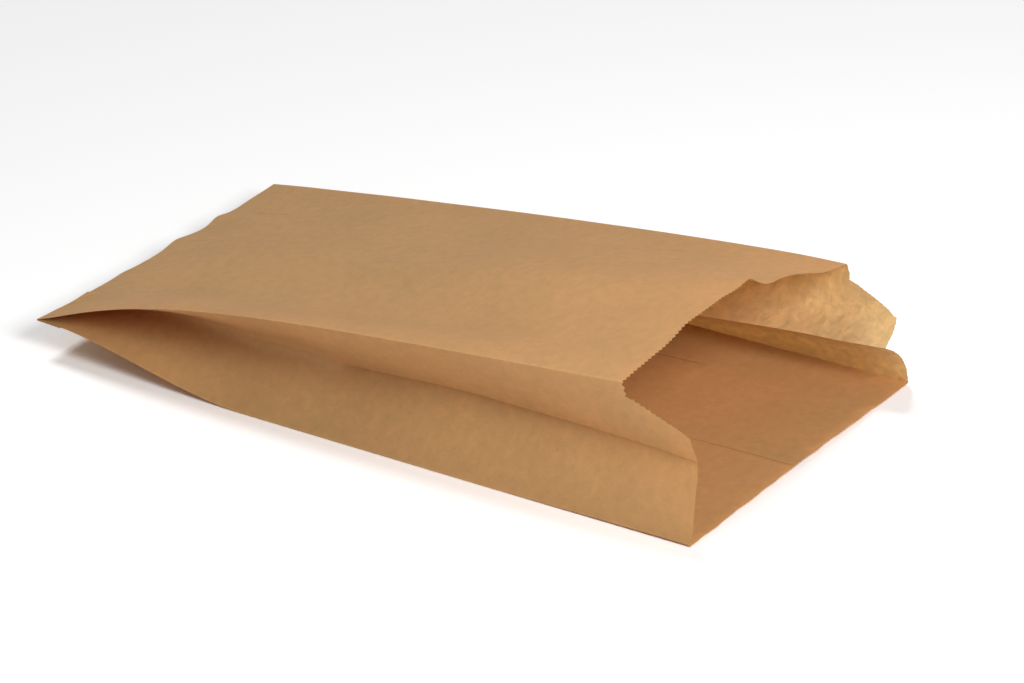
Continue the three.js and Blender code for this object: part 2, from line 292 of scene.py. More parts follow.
class FoldedBag:
    """Maps a point of the flat sheet to its place on the folded bag.

    The sheet's u runs round the bag from the outer edge of the pasted seam: the near half of
    the back panel, the near gusset, the front panel, the far gusset and the far half of the back.
    Its v runs along the bag from the closed end, and is negative on the flap folded under.
    """

    near_rise_power = 1.2
    mouth_lift_start = 0.65
    lean_out = 1.6 * MM
    fold_half = 0.3 * MM
    tilt_rise = 4 * MM
    rest_height = 0.08 * MM
    lap_ramp = 14 * MM
    droop_in = 0.5
    droop_down = 0.8
    end_sag_run = 45 * MM
    end_wave_run = 22 * MM
    soft_fold = 8 * MM
    kink_place = 150 * MM
    kink_drop = 2.6 * MM
    ridge_place = 0.46
    ridge_start = 0.3
    ridge_ease = 0.12
    trough_width = 0.52
    trough_start = 30 * MM
    near_bow_upper = 3.3 * MM
    near_bow_lower = 1.7 * MM
    far_bow_upper = 9.8 * MM
    far_bow_lower = 4 * MM
    bow_start = 0.5
    front_steps = 180

    def __init__(self, sheet, form):
        self.sheet = sheet
        self.form = form
        half_back = sheet.width / 2 + sheet.lap / 2
        widths = [half_back, sheet.gusset, sheet.gusset, sheet.width, sheet.gusset, sheet.gusset,
                  half_back]
        ends = np.cumsum(widths)
        self.folds = [float(end) for end in ends[:-1]]
        self.around = float(ends[-1])

    def cut(self, u):
        """Where the paper ends at the mouth, measured along the bag."""
        sheet = self.sheet
        near = u - self.folds[1]
        far = self.folds[4] - u
        reach = sheet.lip_shoulder + sheet.lip_slant
        slanted = np.clip((np.minimum(near, far) - sheet.lip_shoulder) / sheet.lip_slant, 0, 1)
        across = np.clip((near - reach) / (near + far - 2 * reach), 0, 1)
        slip = sheet.far_slip * np.clip(far / sheet.lip_shoulder, 0, 1) * (far < near)
        depth = sheet.lip_depth - sheet.lip_skew * across
        return sheet.length - slip * (1 - slanted) - depth * slanted

    def near_top(self, v):
        """Height of the near top crease over the table, less the layers pressed under it."""
        form = self.form
        quick = form.near_rise * (1 - math.exp(-(v / form.near_rise_run) ** self.near_rise_power))
        return self.rest_height + form.end_lift_near + quick + form.near_slope * v

    def far_top(self, v):
        """Height of the far top crease over the table, less the layers pressed under it."""
        form = self.form
        share = v / self.sheet.length
        eased = share + form.far_ease * share * (1 - share)
        return self.rest_height + form.end_lift_far + form.far_rise * eased

    def back_height(self, v, y):
        """Height of the back panel over the table."""
        form = self.form
        share = y / self.sheet.width + 0.5
        lift = form.end_lift_near + (form.end_lift_far - form.end_lift_near) * share
        rest = self.rest_height + self.sheet.layer
        mouth = smoothstep(v / self.sheet.length, self.mouth_lift_start, 1)
        mouth = mouth * (form.mouth_lift + form.mouth_arch * np.cos(math.pi * (share - 0.5)) ** 2)
        return rest + lift * (1 - smoothstep(v, 0, form.end_lift_run)) + mouth

    def front_relief(self, v, share):
        """Height of the front panel over the straight line between its creases."""
        form = self.form
        progress = v / self.sheet.length
        grown = np.clip((progress - self.ridge_start) / (1 - self.ridge_start), 0, 1)
        near_side = np.sin(np.minimum(share / self.ridge_place, 1) * math.pi / 2)
        run = np.clip((1 - share) / (1 - self.ridge_place), 0, 1)
        far_side = run - self.ridge_ease * np.sin(2 * math.pi * run)
        ridge = np.where(share < self.ridge_place, near_side, far_side)
        dip = np.sin(math.pi * np.clip(share / self.trough_width, 0, 1)) ** 2
        sunk = form.trough * math.sin(math.pi * progress) * smoothstep(v, 0, self.trough_start)
        relief = form.ridge * grown * ridge - sunk * dip
        free = smoothstep(v, 0, 30 * MM) * np.sin(math.pi * np.clip(share, 0, 1)) ** 0.5
        for place, across, reach, breadth, turn, height in FRONT_DENTS:
            aside = (share - across) * self.sheet.width
            cos, sin = math.cos(math.radians(turn)), math.sin(math.radians(turn))
            lengthwise = (v - place) * cos + aside * sin
            sideways = aside * cos - (v - place) * sin
            relief = relief + free * height * bump(lengthwise, 0, reach) * bump(sideways, 0, breadth)
        return relief

    def end_droop(self, v, y):
        """How far the closed end sinks and draws in between its corners."""
        form = self.form
        sag = form.end_sag * np.cos(math.pi * np.clip(y / self.sheet.width, -0.5, 0.5)) ** 0.7
        waves = sum(share * bump(y, place, breadth) for place, breadth, share in END_WAVES)
        return (sag * np.exp(-(v / self.end_sag_run) ** 2)
                - form.end_wave * waves * np.exp(-(v / self.end_wave_run) ** 2))

    def front_profile(self, v, start, far_height):
        """Points of the front panel, laid so that each step keeps its length on the paper."""
        share = np.linspace(0, 1, self.front_steps + 1)
        height = start[1] + (far_height - start[1]) * share + self.front_relief(v, share)
        step = self.sheet.width / self.front_steps
        rise = np.diff(height)
        run = np.sqrt(np.maximum(step * step - rise * rise, 0))
        across = start[0] + np.concatenate(([0], np.cumsum(run)))
        return np.stack((across, height), axis=1)

    def gusset_crease(self, low, high, inward, bow):
        """Where the two halves of a gusset meet; a bow brings the ends of each half nearer."""
        chord = high - low
        half = self.sheet.gusset - 8 * bow * bow / (3 * self.sheet.gusset)
        reach = math.sqrt(max(half * half - chord @ chord / 4, 0))
        tilt = math.atan2(chord[0], chord[1]) * smoothstep(chord[1], 0, self.tilt_rise)
        return low + chord / 2 + inward * reach * np.array((math.cos(tilt), -math.sin(tilt)))

    def section(self, v, u):
        """Places (across, height) of the sheet's points u at one distance along the bag."""
        sheet = self.sheet
        half = sheet.width / 2
        up = np.array((0, sheet.layer))
        nose = np.array((sheet.layer / 2, 0))
        along = max(v, 0)
        progress = along / sheet.length

        near_back = np.array((-half, self.back_height(along, -half)))
        far_back = np.array((half, self.back_height(along, half)))
        near_low = near_back + up
        near_height = self.near_top(along) + 3 * sheet.layer
        near_high = np.array((-half - self.lean_out * progress, near_height))
        bowed = smoothstep(progress, self.bow_start, 1)
        near_bow = bowed * (self.near_bow_upper + self.near_bow_lower) / 2
        far_bow = bowed * (self.far_bow_upper + self.far_bow_lower) / 2
        near_crease = self.gusset_crease(near_low, near_high - up, 1, near_bow)
        kink = smoothstep(along, 0.82 * self.kink_place, self.kink_place)
        kink = kink * (1 - smoothstep(along, self.kink_place, 1.45 * self.kink_place))
        near_crease = near_crease - np.array((0, self.kink_drop * kink))
        front = self.front_profile(along, near_high + up, self.far_top(along) + 4 * sheet.layer)
        far_low = far_back + up
        far_high = front[-1] - up
        far_crease = self.gusset_crease(far_low, far_high - up, -1, far_bow)

        corners = [
            (near_back, near_low, -1),
            (near_crease, near_crease + up, 1),
            (near_high, front[0], -1),
            (front[-1], far_high, 1),
            (far_crease + up, far_crease, -1),
            (far_low, far_back, 1),
        ]
        knots = [0.0]
        places = [np.array((sheet.lap / 2, self.back_height(along, sheet.lap / 2)))]
        for index, (first, last, outward) in enumerate(corners):
            fold = self.folds[index]
            middle = (first + last) / 2 + outward * nose
            if index == 3:
                start = self.folds[2] + self.fold_half
                end = fold - self.fold_half
                knots.extend(np.linspace(start, end, self.front_steps + 1)[1:-1])
                places.extend(front[1:-1])
            knots.extend((fold - self.fold_half, fold, fold + self.fold_half))
            places.extend((first, middle, last))
        knots.append(self.around)
        places.append(np.array((-sheet.lap / 2, self.back_height(along, -sheet.lap / 2))))
        places = np.array(places)
        y = np.interp(u, knots, places[:, 0])
        z = np.interp(u, knots, places[:, 1])
        y, z = self.soften_near_fold(along, u, y, z, knots, places)

        bows = ((0, near_crease - near_low, self.near_bow_lower),
                (1, near_high - near_crease, self.near_bow_upper),
                (3, far_crease - far_high, self.far_bow_upper),
                (4, far_low - far_crease, self.far_bow_lower))
        for panel, chord, depth in bows:
            share = np.clip((u - self.folds[panel]) / sheet.gusset, 0, 1)
            side = np.array((-chord[1], chord[0])) / np.hypot(*chord)
            y += bowed * depth * np.sin(math.pi * share) * side[0]
            z += bowed * depth * np.sin(math.pi * share) * side[1]

        z -= sheet.layer * (1 - smoothstep(u, sheet.lap, sheet.lap + self.lap_ramp))
        return y, z

    def soften_near_fold(self, v, u, y, z, knots, places):
        """Rounds the near gusset's fold between the closed end and its kink."""
        round_off = smoothstep(v, 15 * MM, 50 * MM)
        round_off = round_off * (1 - smoothstep(v, 0.92 * self.kink_place, 1.04 * self.kink_place))
        reach = self.soft_fold * round_off
        if reach < 0.5 * MM:
            return y, z
        fold = self.folds[1]
        ends = [np.array([np.interp(fold + side * reach, knots, places[:, k]) for k in (0, 1)])
                for side in (-1, 1)]
        corner = np.array([np.interp(fold, knots, places[:, k]) for k in (0, 1)])
        inside = np.abs(u - fold) < reach
        t = np.clip((u - fold + reach) / (2 * reach), 0, 1)
        curve = [(1 - t) ** 2 * ends[0][k] + 2 * t * (1 - t) * corner[k] + t ** 2 * ends[1][k]
                 for k in (0, 1)]
        return np.where(inside, curve[0], y), np.where(inside, curve[1], z)

    def layer_number(self, u):
        """How many layers lie under the sheet's point u where the bag is pressed flat."""
        knots = [sheet_u for fold in self.folds for sheet_u in (fold - self.fold_half,
                                                                 fold + self.fold_half)]
        levels = [1, 2, 2, 3, 3, 4, 4, 3, 3, 2, 2, 1]
        level = np.interp(u, knots, levels)
        lap = self.sheet.lap
        return level - (1 - smoothstep(u, lap, lap + self.lap_ramp))

    def surface(self, u_values, v_values):
        """Table of places, [v, u, (x, y, z)], for rising lists of u and v."""
        rows = [self.section(v, u_values) for v in v_values]
        y = np.array([row[0] for row in rows])
        z = np.array([row[1] for row in rows])
        x = np.zeros_like(y)
        zero = int(np.searchsorted(v_values, 0))
        for i in range(zero + 1, len(v_values)):
            step = v_values[i] - v_values[i - 1]
            aside = (y[i] - y[i - 1]) ** 2 + (z[i] - z[i - 1]) ** 2
            x[i] = x[i - 1] + np.sqrt(np.maximum(step * step - aside, 0))

        for i in range(zero, len(v_values)):
            droop = self.end_droop(v_values[i], y[i])
            x[i] += self.droop_in * droop
            z[i] -= self.droop_down * droop

        height = (self.layer_number(u_values) + 0.5) * self.sheet.layer
        axis = z[zero] - height
        for i in range(zero):
            turned = np.minimum(-v_values[i] / height, math.pi)
            past = np.maximum(-v_values[i] - math.pi * height, 0)
            droop = self.end_droop(past, y[i]) - self.end_droop(0, y[i])
            drop = self.back_height(past, y[i]) - self.back_height(0, y[i])
            x[i] = x[zero] + past - height * np.sin(turned) + self.droop_in * droop
            z[i] = axis + height * np.cos(turned) + drop - self.droop_down * droop
        return np.stack((x, y, z), axis=2)


def paper_noise(u, v, grain, seed):
    """Smooth noise over the flat sheet, from about -1 to 1, with a given grain."""
    return noise.noise(Vector((u / grain, v / grain, seed)))


def crumpled_share(bag, u, v):
    """How strongly the sheet is crumpled, from 0 to 1: most in the far gusset by the mouth."""
    if bag.folds[3] < u < bag.folds[5]:
        return 0.3 + 0.7 * float(smoothstep(v, 150 * MM, 240 * MM))
    if bag.folds[0] < u < bag.folds[2]:
        return 0.3
    return 0.22


def paper_relief(form, bag, u, v):
    """How far a point of the sheet stands out of its smooth shape, from handling and damp."""
    free = float(smoothstep(v, 15 * MM, 70 * MM))
    if free <= 0:
        return 0.0
    from_fold = min(abs(u - fold) for fold in bag.folds)
    free *= float(smoothstep(from_fold, 0, 5 * MM))
    lap = bag.sheet.lap
    free *= float(smoothstep(min(u, bag.around - u), lap, 2.4 * lap))
    folds = bag.folds
    front = folds[2] < u < folds[3]
    back = u < folds[0] or u > folds[5]
    gentle = paper_noise(u, 0.7 * v, 34 * MM, 3.1) + 0.45 * paper_noise(u, 0.6 * v, 13 * MM, 8.7)
    relief = form.cockle * gentle * (1.0 if front else 0.35 if back else 0.6)
    if folds[3] < u < folds[5]:
        crumpled = float(smoothstep(v, 170 * MM, 240 * MM))
        ridges = 0.6 - abs(paper_noise(u, v, 11 * MM, 5.3)) * 2
        ridges += 0.6 * (0.5 - abs(paper_noise(1.2 * u, v, 5.5 * MM, 1.9)) * 2)
        relief += form.crinkle * crumpled * ridges
    return relief * free


def bisect(bm, place, direction, keep=None):
    """Cuts a flat mesh along a line, everywhere or only in the faces that keep accepts."""
    faces = [f for f in bm.faces if keep is None or keep(f.calc_center_median())]
    parts = set(faces)
    for face in faces:
        parts.update(face.edges)
        parts.update(face.verts)
    bmesh.ops.bisect_plane(
        bm, geom=list(parts), dist=1e-7, plane_co=place, plane_no=direction)


def flat_sheet(sheet, bag):
    """Flat mesh of the sheet, with lines at its creases and its mouth cut to shape."""
    column = 2.0 * MM
    row = 2.4 * MM
    columns = int(round(bag.around / column)) + 1
    rows = int(round((sheet.length + sheet.end_flap) / row))
    bm = bmesh.new()
    bmesh.ops.create_grid(bm, x_segments=columns, y_segments=rows, size=0.5)
    bmesh.ops.scale(
        bm, vec=(columns * column, sheet.length + sheet.end_flap, 1), verts=bm.verts)
    bmesh.ops.translate(
        bm, vec=(bag.around / 2, (sheet.length - sheet.end_flap) / 2, 0), verts=bm.verts)
    across = Vector((1, 0, 0))
    along = Vector((0, 1, 0))
    for edge in (0, bag.around):
        bisect(bm, (edge, 0, 0), across)
    spare = [f for f in bm.faces if not 0 < f.calc_center_median().x < bag.around]
    bmesh.ops.delete(bm, geom=spare, context="FACES")
    for fold in bag.folds:
        for offset in (-bag.fold_half, 0, bag.fold_half):
            bisect(bm, (fold + offset, 0, 0), across)
    for turn in (0, 0.3, 0.6, 1.0, 1.4, 1.9, 2.4, 3.0):
        bisect(bm, (0, -turn * MM, 0), along)

    cut_start = sheet.length - sheet.lip_depth
    shoulder = sheet.lip_shoulder
    slant = sheet.lip_slant
    near = bag.folds[1]
    far = bag.folds[4]
    lip = lambda c: c.y > cut_start - 2 * row
    for u in (near + shoulder, near + shoulder + slant, far - shoulder, far - shoulder - slant):
        bisect(bm, (u, 0, 0), across, lip)
    front = lambda c: near + shoulder + slant < c.x < far - shoulder - slant and lip(c)
    straight = Vector((-sheet.lip_skew, far - near - 2 * (shoulder + slant), 0)).normalized()
    bisect(bm, (near + shoulder + slant, cut_start, 0), straight, front)
    strip = Vector((-sheet.far_slip, shoulder, 0)).normalized()
    bisect(bm, (far, sheet.length, 0), strip, lambda c: far - shoulder < c.x < far and lip(c))
    for start, side, slip, skew in ((near + shoulder, 1, 0, 0),
                                    (far - shoulder, -1, sheet.far_slip, sheet.lip_skew)):
        low, high = sorted((start, start + side * slant))
        slope = Vector((side * (sheet.lip_depth - skew - slip), slant, 0)).normalized()
        bisect(bm, (start, sheet.length - slip, 0), slope, lambda c: low < c.x < high and lip(c))
    spare = []
    for face in bm.faces:
        centre = face.calc_center_median()
        if centre.y > bag.cut(centre.x):
            spare.append(face)
    bmesh.ops.delete(bm, geom=spare, context="FACES")
    return bm


def cut_teeth(bm, sheet, bag):
    """Fine teeth along the mouth, as the toothed cutter leaves them."""
    pitch = 8 * MM / 3
    shoulder, slant = sheet.lip_shoulder, sheet.lip_slant
    extra = math.hypot(slant, sheet.lip_depth) - slant
    near_slant = bag.folds[1] + shoulder
    far_slant = bag.folds[4] - shoulder - slant
    mouth = []
    for edge in [e for e in bm.edges if e.is_boundary]:
        centre = (edge.verts[0].co + edge.verts[1].co) / 2
        if abs(centre.y - bag.cut(centre.x)) < 0.05 * MM and 0 < centre.x < bag.around:
            mouth.append(edge)
    slanted = [e for e in mouth if e.calc_length() > 3 * MM]
    straight = [e for e in mouth if MM < e.calc_length() <= 3 * MM]
    bmesh.ops.subdivide_edges(bm, edges=straight, cuts=2)
    slanted = [e for e in slanted if e.is_valid]
    bmesh.ops.subdivide_edges(bm, edges=slanted, cuts=5)
    for vert in [v for v in bm.verts if v.is_boundary]:
        u = vert.co.x
        if abs(vert.co.y - bag.cut(u)) > 0.05 * MM:
            continue
        near_share = float(np.clip((u - near_slant) / slant, 0, 1))
        far_share = float(np.clip((u - far_slant) / slant, 0, 1))
        phase = ((u + extra * (near_share - 1 + far_share)) / pitch + 0.125) % 1
        tooth = 1 - abs(2 * phase - 1)
        near = u - bag.folds[1]
        sharp = 0.12 + 0.88 * float(smoothstep(near, 0.6 * shoulder, 0.8 * sheet.gusset))
        sharp -= 0.75 * float(smoothstep(near, 2.6 * sheet.gusset, 4 * sheet.gusset))
        ragged = 0.35 * MM * (1 + paper_noise(u, 0, 9 * MM, 2.2)) * (1.6 - sharp)
        out = Vector((0, 1, 0))
        if 0 < near_share < 1:
            out = Vector((sheet.lip_depth, slant, 0)).normalized()
        elif 0 < far_share < 1:
            out = Vector((-sheet.lip_depth, slant, 0)).normalized()
        corner = min(abs(s - round(s)) for s in (near_share, far_share) if 0 < s < 1) \
            if 0 < near_share < 1 or 0 < far_share < 1 else 1
        vert.co += out * (sheet.tooth_depth * sharp * tooth + ragged) * min(1, 6 * corner)


def fold_sheet(bm, bag):
    """Stores the flat place of every point as its UV, and moves the point to the folded bag."""
    flat = np.array([v.co[:2] for v in bm.verts])
    layer = bm.loops.layers.uv.new("SheetMetres")
    fold_rub_light_layer = bm.verts.layers.float.new("fold_rub_and_light")
    crumple = bm.verts.layers.float.new("crumple")
    for face in bm.faces:
        for loop in face.loops:
            loop[layer].uv = loop.vert.co.xy
    for vert in bm.verts:
        u, v = vert.co.xy
        # Painted light on the folds: +1 on the outer folds, rubbed paler with a painted highlight,
        # -1 on the gussets' middle folds, which turn inward and get painted shade; the inner face
        # takes the opposite sign
        for index, fold in enumerate(bag.folds):
            if abs(u - fold) < 1.5 * bag.fold_half:
                vert[fold_rub_light_layer] = -1.0 if index in (1, 4) else 1.0
        vert[crumple] = crumpled_share(bag, u, v)
    u_values, u_index = np.unique(np.round(flat[:, 0], 6), return_inverse=True)
    v_values, v_index = np.unique(np.round(flat[:, 1], 6), return_inverse=True)
    table = bag.surface(u_values, v_values)
    places = table[v_index, u_index]
    places += np.array((BAG_END_X, BAG_MIDDLE_Y, 0))
    for vert, place in zip(bm.verts, places):
        vert.co = place
    bmesh.ops.recalc_face_normals(bm, faces=bm.faces)
    bm.normal_update()
    top = max(bm.faces, key=lambda f: f.calc_center_median().z)
    if top.normal.z < 0:
        bmesh.ops.reverse_faces(bm, faces=bm.faces)
        bm.normal_update()
    outward = [v.normal.copy() for v in bm.verts]
    for vert, normal, (u, v) in zip(bm.verts, outward, flat):
        vert.co += normal * paper_relief(bag.form, bag, u, v)


def add_node(tree, kind, settings=None, inputs=None, links=None):
    """Adds a node, sets its properties and its sockets, and links its sockets."""
    node = tree.nodes.new(kind)
    for name, value in (settings or {}).items():
        setattr(node, name, value)
    for name, value in (inputs or {}).items():
        node.inputs[name].default_value = value
    for name, source in (links or {}).items():
        tree.links.new(source, node.inputs[name])
    return node


def new_material(name):
    """An empty node material and its tree, with an output node."""
    material = bpy.data.materials.new(name)
    material.use_nodes = True
    tree = material.node_tree
    tree.nodes.clear()
    return material, tree


def fine_crease(tree, place, start, end, breadth):
    """Mask of one fine crease of the sheet: 1 on its line, 0 beside it and past its ends."""
    start, end = Vector((*start, 0)), Vector((*end, 0))
    along = end - start
    turn = math.atan2(along.y, along.x)
    wobble = add_node(tree, "ShaderNodeTexNoise", inputs={"Scale": 1 / (7 * MM), "Detail": 1.0},
                      links={"Vector": place})
    shift = add_node(tree, "ShaderNodeVectorMath", {"operation": "MULTIPLY_ADD"}, links={
        0: wobble.outputs["Color"]})
    shift.inputs[1].default_value = (0, 1.6 * MM, 0)
    shift.inputs[2].default_value = (0, -0.8 * MM, 0)
    turned = add_node(tree, "ShaderNodeMapping", {"vector_type": "TEXTURE"}, {
        "Location": start, "Rotation": (0, 0, turn)}, {"Vector": place})
    moved = add_node(tree, "ShaderNodeVectorMath", {"operation": "ADD"}, links={
        0: turned.outputs["Vector"], 1: shift.outputs["Vector"]})
    parts = add_node(tree, "ShaderNodeSeparateXYZ", links={"Vector": moved.outputs["Vector"]})
    aside = add_node(tree, "ShaderNodeMath", {"operation": "ABSOLUTE"}, links={
        0: parts.outputs["Y"]})
    line = add_node(tree, "ShaderNodeMapRange", {"interpolation_type": "SMOOTHSTEP"}, {
        "From Min": 0.0, "From Max": breadth, "To Min": 1.0, "To Max": 0.0}, {
        "Value": aside.outputs[0]})
    middle = add_node(tree, "ShaderNodeMath", {"operation": "SUBTRACT"}, {
        1: along.length / 2}, {0: parts.outputs["X"]})
    reach = add_node(tree, "ShaderNodeMath", {"operation": "ABSOLUTE"}, links={
        0: middle.outputs[0]})
    ends = add_node(tree, "ShaderNodeMapRange", {"interpolation_type": "SMOOTHSTEP"}, {
        "From Min": 0.25 * along.length, "From Max": 0.5 * along.length,
        "To Min": 1.0, "To Max": 0.0}, {"Value": reach.outputs[0]})
    mask = add_node(tree, "ShaderNodeMath", {"operation": "MULTIPLY"}, links={
        0: line.outputs["Result"], 1: ends.outputs["Result"]})
    return mask.outputs[0]


def kraft_paper(name, colour, kraft, roughness, creases, cloud, fold_rub_light_weight):
    """Unbleached kraft paper, machine glazed: long pulp fibres pressed flat on a hot cylinder.

    The eye sees a matt brown with soft cloudy patches, a faint grain along the web, a few dark
    bark flecks, and folds rubbed a little paler with a painted highlight on the outward folds and
    painted shade in the inward ones. The inner face is rougher and warmer.
    """
    material, tree = new_material(name)
    place = add_node(tree, "ShaderNodeUVMap", {"uv_map": "SheetMetres"}).outputs["UV"]

    # Clouds of pulp, 5 mm across, and a slower drift of tone over 45 mm
    clouds = add_node(tree, "ShaderNodeTexNoise", inputs={
        "Scale": 1 / (5 * MM), "Detail": 3.0, "Roughness": 0.6}, links={"Vector": place})
    drift = add_node(tree, "ShaderNodeTexNoise", inputs={
        "Scale": 1 / (45 * MM), "Detail": 2.0}, links={"Vector": place})
    # Fibres lie along the web, 3 mm long; drawn 0.5 mm wide, as real ones are too fine to show
    web = add_node(tree, "ShaderNodeMapping", inputs={
        "Scale": (1 / (0.5 * MM), 1 / (3 * MM), 1)}, links={"Vector": place})
    fibres = add_node(tree, "ShaderNodeTexNoise", inputs={
        "Scale": 1.0, "Detail": 2.0, "Roughness": 0.5}, links={"Vector": web.outputs["Vector"]})

    tone = add_node(tree, "ShaderNodeMath", {"operation": "MULTIPLY_ADD"}, {1: cloud, 2: 1.0})
    centred = add_node(tree, "ShaderNodeMath", {"operation": "SUBTRACT"}, {1: 0.5}, {
        0: clouds.outputs["Fac"]})
    tree.links.new(centred.outputs[0], tone.inputs[0])
    slow = add_node(tree, "ShaderNodeMath", {"operation": "SUBTRACT"}, {1: 0.5}, {
        0: drift.outputs["Fac"]})
    grain = add_node(tree, "ShaderNodeMath", {"operation": "SUBTRACT"}, {1: 0.5}, {
        0: fibres.outputs["Fac"]})
    slow_tone = add_node(tree, "ShaderNodeMath", {"operation": "MULTIPLY_ADD"}, {1: 0.16}, {
        0: slow.outputs[0], 2: tone.outputs[0]})
    full_tone = add_node(tree, "ShaderNodeMath", {"operation": "MULTIPLY_ADD"}, {1: 0.14}, {
        0: grain.outputs[0], 2: slow_tone.outputs[0]})

    # Bark flecks: about one to a 16 mm square, most of them 0.4 mm across
    cells = add_node(tree, "ShaderNodeTexVoronoi", inputs={"Scale": 1 / (15 * MM)}, links={
        "Vector": place})
    chance = add_node(tree, "ShaderNodeSeparateColor", links={"Color": cells.outputs["Color"]})
    size = add_node(tree, "ShaderNodeMapRange", inputs={
        "From Min": 0.45, "From Max": 1.0, "To Min": 0.0, "To Max": 0.03}, links={
        "Value": chance.outputs["Red"]})
    spot = add_node(tree, "ShaderNodeMath", {"operation": "SUBTRACT"}, links={
        0: size.outputs["Result"], 1: cells.outputs["Distance"]})
    flecks = add_node(tree, "ShaderNodeMapRange", {"interpolation_type": "SMOOTHSTEP"}, {
        "From Min": -0.012, "From Max": 0.006, "To Min": 0.0, "To Max": 0.8}, {
        "Value": spot.outputs[0]})

    # Crumples 4.5 mm across with finer ones on them. Their crests are painted paler and their
    # hollows darker, partly rubbed glaze and partly painted highlight and shade;
    # where the paper is crumpled most, in the far gusset by the mouth, all of it is painted paler,
    # partly broken glaze and partly painted light
    crumpled = add_node(tree, "ShaderNodeAttribute", {"attribute_name": "crumple"})
    folds = add_node(tree, "ShaderNodeTexNoise", inputs={
        "Scale": 1 / (4.5 * MM), "Detail": 2.5, "Roughness": 0.55, "Distortion": 0.5}, links={
        "Vector": place})
    crest_rub_and_light = add_node(tree, "ShaderNodeMapRange", inputs={
        "From Min": 0.3, "From Max": 0.7, "To Min": -0.08, "To Max": 0.11}, links={
        "Value": folds.outputs["Fac"]})
    broken_glaze_and_light = add_node(tree, "ShaderNodeMapRange", inputs={
        "From Min": 0.3, "From Max": 1.0, "To Min": 0.0, "To Max": 0.6}, links={
        "Value": crumpled.outputs["Fac"]})
    full_tone = add_node(tree, "ShaderNodeMath", {"operation": "MULTIPLY_ADD"}, links={
        0: crest_rub_and_light.outputs["Result"], 1: crumpled.outputs["Fac"], 2: full_tone.outputs[0]})

    # Folds that turn outward from this face are rubbed paler and carry a painted highlight; folds
    # that turn inward get painted shade, as do the fine creases
    rub_light_attribute = add_node(tree, "ShaderNodeAttribute", {"attribute_name": "fold_rub_and_light"})
    rub_and_painted_light = add_node(tree, "ShaderNodeMath", {"operation": "MULTIPLY_ADD"}, {1: fold_rub_light_weight}, {
        0: rub_light_attribute.outputs["Fac"], 2: full_tone.outputs[0]})
    marks = None
    for start, end, breadth in creases:
        mask = fine_crease(tree, place, start, end, breadth)
        if marks is None:
            marks = mask
        else:
            marks = add_node(tree, "ShaderNodeMath", {"operation": "MAXIMUM"}, links={
                0: marks, 1: mask}).outputs[0]
    shaded = rub_and_painted_light.outputs[0]
    # Painted shade along the fine creases
    if marks is not None:
        shaded = add_node(tree, "ShaderNodeMath", {"operation": "MULTIPLY_ADD"}, {1: -0.22}, {
            0: marks, 2: shaded}).outputs[0]

    ground = add_node(tree, "ShaderNodeMix", {"data_type": "RGBA"}, {
        "A": (*colour, 1), "B": (*kraft.rub_and_painted_light, 1)}, {"Factor": broken_glaze_and_light.outputs["Result"]})
    toned = add_node(tree, "ShaderNodeVectorMath", {"operation": "SCALE"}, links={
        0: ground.outputs["Result"], "Scale": shaded})
    flecked = add_node(tree, "ShaderNodeMix", {"data_type": "RGBA"}, {
        "B": (*kraft.fleck, 1)}, {"Factor": flecks.outputs["Result"], "A": toned.outputs["Vector"]})

    # Relief: the crumples, fibre bundles and the fine creases
    ridges = add_node(tree, "ShaderNodeMath", {"operation": "MULTIPLY"}, links={
        0: folds.outputs["Fac"], 1: crumpled.outputs["Fac"]})
    height = add_node(tree, "ShaderNodeMath", {"operation": "MULTIPLY"}, {1: 0.6 * MM}, {
        0: ridges.outputs[0]})
    height = add_node(tree, "ShaderNodeMath", {"operation": "MULTIPLY_ADD"}, {1: 0.05 * MM}, {
        0: fibres.outputs["Fac"], 2: height.outputs[0]})
    if marks is not None:
        height = add_node(tree, "ShaderNodeMath", {"operation": "MULTIPLY_ADD"}, {
            1: -0.3 * MM}, {0: marks, 2: height.outputs[0]})
    relief = add_node(tree, "ShaderNodeBump", inputs={"Strength": 1.0, "Distance": 1.0}, links={
        "Height": height.outputs[0]})

    shader = add_node(tree, "ShaderNodeBsdfPrincipled", inputs={
        "Roughness": roughness, "IOR": 1.45, "Specular IOR Level": 0.35}, links={
        "Base Color": flecked.outputs["Result"], "Normal": relief.outputs["Normal"]})
    # The sheet is thin enough to glow warm where light falls on its other face
    # The translucent colour turns paler under the same mask of broken glaze and painted light
    seeping = add_node(tree, "ShaderNodeMix", {"data_type": "RGBA"}, {
        "A": (*kraft.through, 1), "B": (*kraft.through_crumpled_lit, 1)}, {
        "Factor": broken_glaze_and_light.outputs["Result"]})
    glow = add_node(tree, "ShaderNodeVectorMath", {"operation": "SCALE"}, links={
        0: seeping.outputs["Result"], "Scale": full_tone.outputs[0]})
    thin = add_node(tree, "ShaderNodeBsdfTranslucent", links={
        "Color": glow.outputs["Vector"], "Normal": relief.outputs["Normal"]})
    paper = add_node(tree, "ShaderNodeMixShader", inputs={"Fac": 0.42}, links={
        1: shader.outputs["BSDF"], 2: thin.outputs["BSDF"]})
    add_node(tree, "ShaderNodeOutputMaterial", links={"Surface": paper.outputs["Shader"]})
    return material


